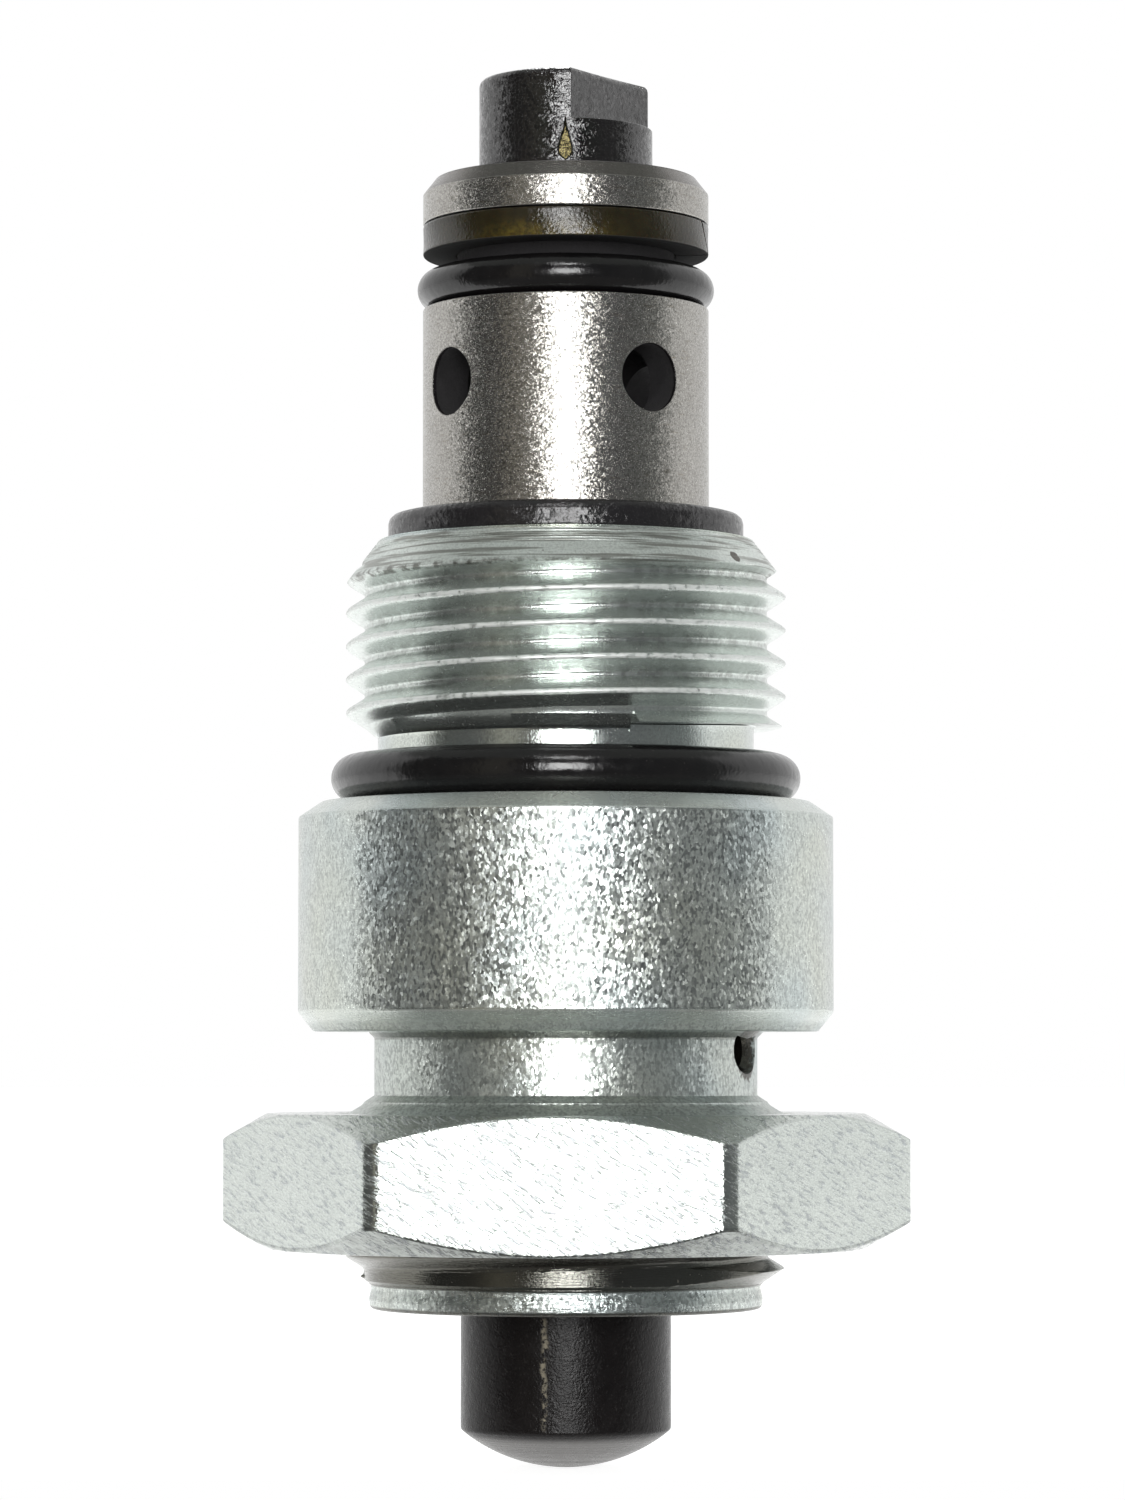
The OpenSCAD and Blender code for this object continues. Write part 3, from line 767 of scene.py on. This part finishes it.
def zinc_body():
    """The body's plating: sparkling rolled collar, turned cone, worn thread crests and matte chamfers."""
    s = Shader("zinc_body")
    cloud = s.noise(3.2, 3.0, 0.6)
    tint = s.noise(5.0, 1.0, 0.5, shift=7.0)
    color = s.mix(cloud, (0.59, 0.64, 0.605), (0.70, 0.74, 0.70))
    color = s.mix(s.fade(tint, 0.45, 0.75, (0.0, 0.7)), color, (0.56, 0.64, 0.65))
    color = s.mix(s.times(s.fade(tint, 0.25, 0.5, FALL), 0.5), color, (0.68, 0.70, 0.60))
    thread = s.times(s.band(s.z, THREAD_ZONE, 0.05), s.fade(s.r, 8.5, 8.6))
    color = s.mix(thread, color, s.mix(cloud, (0.64, 0.70, 0.67), (0.75, 0.79, 0.75)))
    color = mottled(s, color, 0.35)
    specks = speckle(s)
    # The run-out under the nut and the pilot's foot, which get painted shade: they face down, away from the
    # light.
    run_out = s.most(s.band(s.z, RUN_OUT, 0.05), s.fade(s.z, *PILOT_FOOT))
    color = darkened(s, color, body_grime_and_shade(s, run_out), specks)
    rough = s.fade(s.noise(1.0, 2.0, 0.6, at=s.around(9.0, 0.25)), 0.3, 0.75, (0.1, 0.18))
    rough = s.add(rough, s.times(specks, 0.3))
    s.bump(s.noise(0.07, 2.0, 0.6), 0.004)

    # The sparkle of small tilted patches, strongest on the collar's front and back. The patches' darker
    # colour is painted shade, standing in for tilted patches that reflect the dark room.
    rolled = s.times(s.band(s.z, COLLAR_SIDE, 0.1), s.fade(s.r, 11.6, 11.9))
    rolled = s.times(rolled, s.fade(s.math("ABSOLUTE", s.x), 7.8, 9.4, (1.0, 0.42)))
    pilot = s.fade(s.z, *PILOT_EDGE)
    neck = s.times(s.band(s.z, NECK_ZONE, 0.2), s.fade(s.r, NECK_R - 0.4, NECK_R - 0.15, (0.0, 0.6)))
    spangle = s.most(rolled, neck, s.times(pilot, 0.6))
    grain = s.noise(0.085, 3.0, 0.65, at=s.scaled(s.pos, (1.0, 1.0, 0.75)), shift=6.0)
    s.bump(s.times(grain, s.add(s.times(pilot, 0.4), 0.5)), 0.016)
    height, shade = s.facets(0.105, s.scaled(s.pos, (1.0, 1.0, 0.62)))
    s.bump(s.times(height, spangle), 0.038)
    # Painted shade: random patches darkened in colour.
    color = s.mix(s.times(spangle, s.fade(shade, 0.15, 0.6, (0.66, 0.0))), color, (0.14, 0.15, 0.155))
    rough = s.add(rough, s.times(spangle, 0.24))

    # Turned lines, with dark furrows on the cone: grime in the grooves and painted shade of them.
    cone = s.times(s.band(s.z, CONE_ZONE, 0.1), s.fade(s.r, 8.2, 8.4))
    lines = s.noise(1.0, 2.0, 0.6, at=s.around(14.0, 0.06))
    s.bump(s.times(lines, s.blend(s.most(cone, run_out, pilot), 0.08, 1.0)), 0.016)
    furrow = s.noise(1.0, 2.0, 0.6, at=s.around(2.2, 0.1), shift=5.0)
    color = s.mix(s.times(cone, s.fade(furrow, 0.48, 0.62, (0.0, 0.8))), color, (0.2, 0.2, 0.18))

    # Pale worn crests and matte chamfers.
    crest = s.times(s.band(s.z, CREST_ZONE, 0.05), s.fade(s.r, 9.8, 9.86))
    crest = s.times(crest, s.fade(s.noise(0.3, 3.0, 0.7, shift=12.0), 0.36, 0.5, (0.25, 1.0)))
    color = s.mix(s.times(crest, 0.8), color, (0.86, 0.88, 0.86))
    rough = s.blend(crest, s.add(rough, s.times(thread, 0.1)), 0.45)
    metal = s.times(s.blend(thread, 0.94, 0.92), s.blend(crest, 1.0, 0.45))
    chamfers = s.add(s.band(s.z, UPPER_CHAMFER, 0.03), s.band(s.z, LOWER_CHAMFER, 0.03))
    chamfers = s.times(chamfers, s.fade(s.r, 9.6, 9.8))
    matte = s.most(cone, chamfers, s.times(neck, 0.7))
    rough = s.add(rough, s.times(matte, 0.12))
    metal = s.less(s.less(metal, s.times(matte, 0.2)), s.times(specks, 0.6))
    return s.set(Base_Color=color, Roughness=rough, Metallic=metal)


def cage_steel():
    """Ground steel on the sleeve and the nose chamfer, black oxide on the rest of the cage."""
    s = Shader("ground_sleeve", IOR=1.6)
    sleeve = s.times(s.band(s.r, (SLEEVE_R - 0.03, SLEEVE_R + 0.03), 0.01), s.band(s.z, SLEEVE_ZONE, 0.02))
    ground = s.most(sleeve, s.times(s.band(s.z, NOSE_CHAMFER, 0.02), s.fade(s.r, 5.85, 5.9)))
    coated = s.less(1.0, ground)
    cloud = s.noise(2.5, 3.0, 0.6)
    steel = s.mix(cloud, (0.40, 0.385, 0.36), (0.52, 0.51, 0.48))
    scratch = s.noise(1.0, 3.0, 0.65, at=s.around(8.0, 0.12))
    steel = s.mix(s.fade(scratch, 0.55, 0.8), steel, (0.3, 0.27, 0.22))
    mottle = s.fade(s.noise(0.1, 2.0, 0.7, shift=11.0), 0.36, 0.6, (0.55, 0.0))
    steel = s.mix(mottle, steel, (0.18, 0.17, 0.15))
    steel = s.mix(s.fade(s.z, 27.45, 27.5, (0.0, 0.75)), steel, (0.105, 0.096, 0.09))
    oxide = s.mix(s.noise(0.5, 3.0, 0.6, shift=3.0), (0.008, 0.0075, 0.008), (0.02, 0.018, 0.02))
    color = s.mix(ground, oxide, steel)
    rough = s.blend(ground, s.fade(cloud, 0.3, 0.7, (0.12, 0.2)), s.fade(scratch, 0.3, 0.8, (0.19, 0.27)))
    inside = s.times(s.fade(s.r, 6.2, 6.3, FALL), coated)
    rough = s.blend(inside, rough, 0.95)
    s.bump(s.noise(0.085, 3.0, 0.65), 0.012)
    s.bump(s.times(s.facets(0.085)[0], ground, s.fade(s.z, 27.38, 27.44, FALL)), 0.016)
    s.bump(s.times(s.facets(0.2)[0], coated), 0.03)
    s.bump(s.noise(1.0, 2.0, 0.6, at=s.around(20.0, 0.05)), 0.001)
    s.bump(s.times(s.noise(0.25, 2.0, 0.6), coated), 0.03)
    return s.set(Base_Color=color, Roughness=rough, Metallic=ground)


def oxide_coat(s):
    """Colour of black oxide, with small worn spots, and its roughness."""
    color = s.mix(s.noise(0.8, 3.0, 0.6), (0.004, 0.0035, 0.0035), (0.012, 0.010, 0.010))
    wear = s.fade(s.noise(0.16, 2.0, 0.6, shift=4.0), 0.6, 0.72)
    color = s.mix(s.times(wear, 0.07), color, (0.2, 0.19, 0.18))
    return color, s.spread(0.5, (0.05, 0.12))


def oxide_relief(s):
    """The fine unevenness of the coating."""
    s.bump(s.noise(0.1, 2.0, 0.6), 0.022)
    s.bump(s.noise(0.3, 2.0, 0.6, shift=8.0), 0.02)


def plunger_oxide():
    """The button's coating: worn grey on its domed face, and one pale streak down its front."""
    s = Shader("oxide_plunger", IOR=1.28)
    color, rough = oxide_coat(s)
    face = s.fade(s.z, LIP - 0.45, LIP - 0.1, FALL)
    color = s.mix(s.times(face, 0.8), color, (0.22, 0.215, 0.21))
    bearing = s.math("ARCTAN2", s.x, s.times(s.y, -1.0))
    wander = s.add(bearing, s.spread(1.2, (-0.03, 0.03)))
    streak = s.times(s.band(wander, (-0.24, -0.185), 0.02), s.band(s.z, STREAK_ZONE, 0.3))
    streak = s.times(streak, s.fade(s.noise(0.3, 3.0, 0.7, shift=6.0), 0.46, 0.6), s.fade(s.y, -1.0, -2.0))
    color = s.mix(s.times(streak, 0.6), color, (0.4, 0.36, 0.27))
    rough = s.add(s.blend(streak, rough, 0.5), 0.2)
    oxide_relief(s)
    return s.set(Base_Color=color, Roughness=rough, Metallic=s.times(face, 0.45))


def black_oxide(name):
    """The coating of the head and the clips. On the head it carries a pointed drop of amber oil in front."""
    s = Shader(name, IOR=1.75)
    color, rough = oxide_coat(s)
    half_width = s.times(s.fade(s.z, 28.42, 28.8, (0.0, 0.34)), s.fade(s.z, 28.9, FLAT_Z, (1.0, 0.1)))
    beyond = s.less(s.math("ABSOLUTE", s.add(s.x, 0.02)), half_width)
    drop = s.times(s.fade(beyond, -0.08, 0.01, FALL), s.band(s.z, DROP_ZONE, 0.04), s.fade(s.y, -3.6, -3.7))
    amber = s.mix(s.noise(0.35, 2.0, 0.5, shift=1.0), (0.022, 0.018, 0.009), (0.085, 0.074, 0.038))
    color = s.mix(drop, color, amber)
    s.bump(drop, 0.05)
    scratch = s.noise(1.0, 2.0, 0.5, at=s.scaled(s.pos, (2.0, 2.0, 2.6)), shift=3.0)
    s.bump(s.facets(0.16)[0], 0.03)
    oxide_relief(s)
    return s.set(Base_Color=color, Roughness=rough, Metallic=s.most(s.times(scratch, 0.08), drop))


def rubber(name):
    """Black rubber with a little dust on it."""
    s = Shader(name, IOR=1.52)
    color = s.mix(s.noise(1.5, 2.0, 0.6), (0.004, 0.004, 0.0045), (0.01, 0.009, 0.009))
    dust = s.fade(s.noise(0.12, 2.0, 0.6, shift=5.0), 0.68, 0.76)
    color = s.mix(s.times(dust, 0.15), color, (0.2, 0.18, 0.17))
    s.bump(s.noise(0.16, 2.0, 0.55), 0.01)
    s.bump(s.noise(0.5, 1.0, 0.5, shift=3.0), 0.015)
    return s.set(Base_Color=color, Roughness=s.spread(0.6, (0.14, 0.24)))


def brown_polymer():
    """The backup ring's polymer, with a painted golden glow low down in front and painted shade below."""
    s = Shader("backup_polymer", IOR=1.5, Subsurface_Weight=0.15, Subsurface_Scale=0.0004)
    color = s.mix(s.noise(0.7, 3.0, 0.6), (0.008, 0.0065, 0.003), (0.03, 0.023, 0.008))
    aside = s.math("ABSOLUTE", s.add(s.x, 0.9))
    # Painted glow: golden light low down in the middle, as if lit through the polymer.
    painted_glow = s.times(s.fade(s.z, BACKUP_LOW + 0.05, BACKUP_LOW + 1.05, FALL), s.fade(aside, 0.5, 4.0, FALL))
    painted_glow = s.times(painted_glow, s.spread(0.4, detail=3.0, rough=0.7, shift=4.0))
    color = s.mix(painted_glow, color, (0.13, 0.095, 0.015))
    # Painted shade: the underside goes near black and rough.
    shaded_underside = s.fade(s.z, BACKUP_LOW + 0.03, BACKUP_LOW + 0.1, FALL)
    color = s.mix(shaded_underside, color, (0.003, 0.003, 0.003))
    s.bump(s.noise(0.16, 3.0, 0.6), 0.025)
    return s.set(Base_Color=color, Roughness=s.blend(shaded_underside, s.spread(0.5, (0.12, 0.22)), 0.95))


def bright(name, low, high, turned=True):
    """Bare metal between two tones, with turned lines or, on wire, an even grain."""
    s = Shader(name)
    color = s.mix(s.noise(1.2, 3.0, 0.6), low, high)
    marks = s.noise(1.0, 2.0, 0.6, at=s.around(10.0, 0.08)) if turned else s.noise(0.2, 2.0, 0.6)
    s.bump(marks, 0.006)
    return s.set(Base_Color=color, Metallic=1.0, Roughness=s.fade(marks, 0.3, 0.7, (0.18, 0.32)))


def white_ptfe():
    """The backup ring inside the stem."""
    s = Shader("white_ptfe", IOR=1.38)
    color = s.mix(s.noise(0.8, 3.0, 0.6), (0.72, 0.71, 0.66), (0.86, 0.85, 0.8))
    s.bump(s.noise(0.2, 2.0, 0.6), 0.01)
    return s.set(Base_Color=color, Roughness=s.spread(0.5, (0.35, 0.5)))


def bronze():
    """Sintered bronze with dark pores."""
    s = Shader("sintered_bronze")
    pores = s.fade(s.noise(0.1, 2.0, 0.6, shift=2.0), 0.6, 0.7)
    color = s.mix(s.noise(1.0, 3.0, 0.6), (0.42, 0.27, 0.12), (0.6, 0.4, 0.2))
    color = s.mix(s.times(pores, 0.7), color, (0.08, 0.05, 0.03))
    s.bump(pores, -0.01)
    return s.set(Base_Color=color, Metallic=1.0, Roughness=s.blend(pores, 0.32, 0.6))


# ---------------------------------------------------------------- pieces

def piece(obj, body, node, material):
    """Gives a mesh its material, and puts it in the place of its CAD node."""
    obj.data.materials.clear()
    obj.data.materials.append(material)
    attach(obj, body)
    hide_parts(node)
    return obj


nitrile = rubber("nitrile")
wire_steel = bright("spring_wire", (0.42, 0.42, 0.42), (0.62, 0.62, 0.6), turned=False)

piece(body_piece(), "housing", "valve_body", zinc_body())
piece(nut_piece(), "jam_nut", "jam_nut", zinc_nut())
piece(cage_piece(), "housing", "cage", cage_steel())
piece(head_piece(), "poppet_group", "poppet", black_oxide("oxide_head"))
piece(plunger_piece(), "plunger", "plunger", plunger_oxide())
seat_o_ring = ring_piece("seat_o_ring", section=1.07, centre=9.48, z=1.08, wobble=0.012)
piece(seat_o_ring, "housing", "face_o_ring", nitrile)
nose_ring = ring_piece("nose_ring", section=0.89, centre=5.81, z=23.15, wobble=0.01)
piece(nose_ring, "housing", "nose_o_ring", nitrile)
piece(backup_piece(), "housing", "nose_backup_ring", brown_polymer())
back_spring = spring_piece("plunger_spring", low=-15.88, high=-5.52, mean=5.1, wire=1.1, active=3.5)
piece(back_spring, "housing", "return_spring", wire_steel)
seat_spring = spring_piece("seat_spring", low=1.52, high=9.98, mean=3.8, wire=0.8, active=4)
piece(seat_spring, "housing", "poppet_spring", wire_steel)
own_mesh(back_spring)
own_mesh(seat_spring)

CARRIED = {
    "push_rod": bright("ground_rod", (0.5, 0.5, 0.49), (0.7, 0.7, 0.69)),
    "spring_collar": bright("turned_collar", (0.48, 0.48, 0.47), (0.66, 0.66, 0.65)),
    "gland_washer": bright("washer_steel", (0.5, 0.5, 0.49), (0.66, 0.66, 0.64)),
    "collar_clip": black_oxide("oxide_clip"),
    "gland_circlip": black_oxide("oxide_circlip"),
    "guide_bush": bronze(),
    "wiper_ring": rubber("wiper_rubber"),
    "cage_seal": nitrile,
    "stem_seal": nitrile,
    "stem_backup_ring": white_ptfe(),
}
for node, material in CARRIED.items():
    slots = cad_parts[node].data.materials
    slots.clear()
    slots.append(material)


# ---------------------------------------------------------------- stage, light, camera

# The floor in metres: half its width, and y of its back and front edges.
FLOOR_SIDE, FLOOR_BACK, FLOOR_FRONT = 3.0, 3.0, -0.007

# The room's tones round the horizon: bearing in degrees, positive towards +X, and colour.
HORIZON = (
    (-180, (1, 1, 1)), (-94.5, (1, 1, 1)), (-92, (0.06, 0.065, 0.06)), (-62, (0.08, 0.08, 0.08)),
    (-48, (0.09, 0.085, 0.08)), (-43, (0.32, 0.3, 0.25)), (-31, (0.34, 0.32, 0.27)),
    (-25, (0.07, 0.065, 0.06)), (10, (0.08, 0.08, 0.085)), (40, (0.11, 0.115, 0.12)),
    (84, (0.18, 0.19, 0.185)), (95, (0.95, 0.95, 0.95)), (180, (1, 1, 1)),
)
# The tones above and below the room. Each comes in between two values of the direction's z.
CEILING, CEILING_EDGE = (0.32, 0.335, 0.32), (0.66, 0.74)
GROUND, GROUND_EDGE = (0.2, 0.2, 0.195), (-0.35, -0.6)

# Lamps: name, place and size in metres, power in watts.
LAMPS = (
    ("front_strip", (0.0, -0.62, 0.05), (0.21, 0.3), 2.6),
    ("rear_strip", (0.0, 0.3, 0.52), (0.07, 0.4), 1.6),
    ("front_box", (0.0, -0.5, 0.5), (0.18, 0.12), 0.7),
)

# The camera: place in metres, tilt in degrees from straight down, lens and sensor in millimetres.
CAMERA_PLACE, CAMERA_TILT, LENS, SENSOR = (-0.00015, -0.240, -0.01145), 93.3, 128.28, 36.0


def floor_material():
    """A pale floor that glows, so that it stays as light as the backdrop."""
    s = Shader("pale_floor", Specular_IOR_Level=0.1, Emission_Strength=0.85)
    tone = s.mix(s.noise(40.0, 2.0, 0.5), (0.45, 0.45, 0.45), (0.48, 0.48, 0.48))
    s.bsdf.inputs["Emission Color"].default_value = (1, 1, 1, 1)
    return s.set(Base_Color=tone, Roughness=s.spread(25.0, (0.75, 0.85), shift=0.0))


def studio():
    """A white backdrop round the back of the part, and a darker room above it and on the camera's side."""
    world = bpy.data.worlds.new("studio")
    bpy.context.scene.world = world
    world.use_nodes = True
    tree = world.node_tree
    tree.nodes.clear()
    new, link = tree.nodes.new, tree.links.new

    def math_node(kind, a, b):
        n = new("ShaderNodeMath")
        n.operation = kind
        for socket, value in zip(n.inputs, (a, b)):
            if isinstance(value, bpy.types.NodeSocket):
                link(value, socket)
            else:
                socket.default_value = value
        return n.outputs[0]

    def step(value, limits):
        n = new("ShaderNodeMapRange")
        n.interpolation_type = "SMOOTHSTEP"
        link(value, n.inputs["Value"])
        n.inputs["From Min"].default_value, n.inputs["From Max"].default_value = limits
        return n.outputs["Result"]

    def layer(share, below, color):
        n = new("ShaderNodeMix")
        n.data_type = "RGBA"
        link(share, n.inputs["Factor"])
        link(below, n.inputs[6])
        n.inputs[7].default_value = (*color, 1)
        return n.outputs[2]

    coords = new("ShaderNodeTexCoord")
    split = new("ShaderNodeSeparateXYZ")
    link(coords.outputs["Generated"], split.inputs[0])
    x, y, z = split.outputs
    azimuth = math_node("ARCTAN2", x, math_node("MULTIPLY", y, -1.0))
    share = math_node("ADD", math_node("DIVIDE", azimuth, 2 * math.pi), 0.5)
    ramp = new("ShaderNodeValToRGB")
    link(share, ramp.inputs[0])
    elements = ramp.color_ramp.elements
    while len(elements) < len(HORIZON):
        elements.new(0.5)
    for element, (degrees, color) in zip(elements, HORIZON):
        element.position = degrees / 360 + 0.5
        element.color = (*color, 1)
    room = layer(step(z, CEILING_EDGE), ramp.outputs["Color"], CEILING)
    room = layer(step(z, GROUND_EDGE), room, GROUND)
    room = layer(new("ShaderNodeLightPath").outputs["Is Camera Ray"], room, (1, 1, 1))
    back = new("ShaderNodeBackground")
    link(room, back.inputs["Color"])
    out = new("ShaderNodeOutputWorld")
    link(back.outputs[0], out.inputs["Surface"])


def area(name, place, size, power):
    """A soft rectangular lamp that faces the part."""
    light = bpy.data.lights.new(name, "AREA")
    light.shape = "RECTANGLE"
    light.size, light.size_y = size
    light.energy = power
    lamp = bpy.data.objects.new(name, light)
    lamp.location = place
    direction = -lamp.location.copy()
    lamp.rotation_euler = direction.to_track_quat("-Z", "Y").to_euler()
    lamp.visible_camera = False
    bpy.context.scene.collection.objects.link(lamp)


floor_mesh = bpy.data.meshes.new("floor")
floor_mesh.from_pydata([
    (-FLOOR_SIDE, FLOOR_FRONT, 0), (FLOOR_SIDE, FLOOR_FRONT, 0), (FLOOR_SIDE, FLOOR_BACK, 0),
    (-FLOOR_SIDE, FLOOR_BACK, 0)
], [], [(0, 1, 2, 3)])
floor = bpy.data.objects.new("floor", floor_mesh)
floor.location.z = TIP * 0.001
floor_mesh.materials.append(floor_material())
bpy.context.scene.collection.objects.link(floor)

studio()
for lamp in LAMPS:
    area(*lamp)

camera = bpy.data.objects.new("camera", bpy.data.cameras.new("camera"))
camera.data.lens, camera.data.sensor_width, camera.data.clip_start = LENS, SENSOR, 0.01
camera.location = CAMERA_PLACE
camera.rotation_euler = (math.radians(CAMERA_TILT), 0.0, 0.0)
bpy.context.scene.collection.objects.link(camera)
bpy.context.scene.camera = camera
bpy.context.scene.view_settings.view_transform = "Standard"
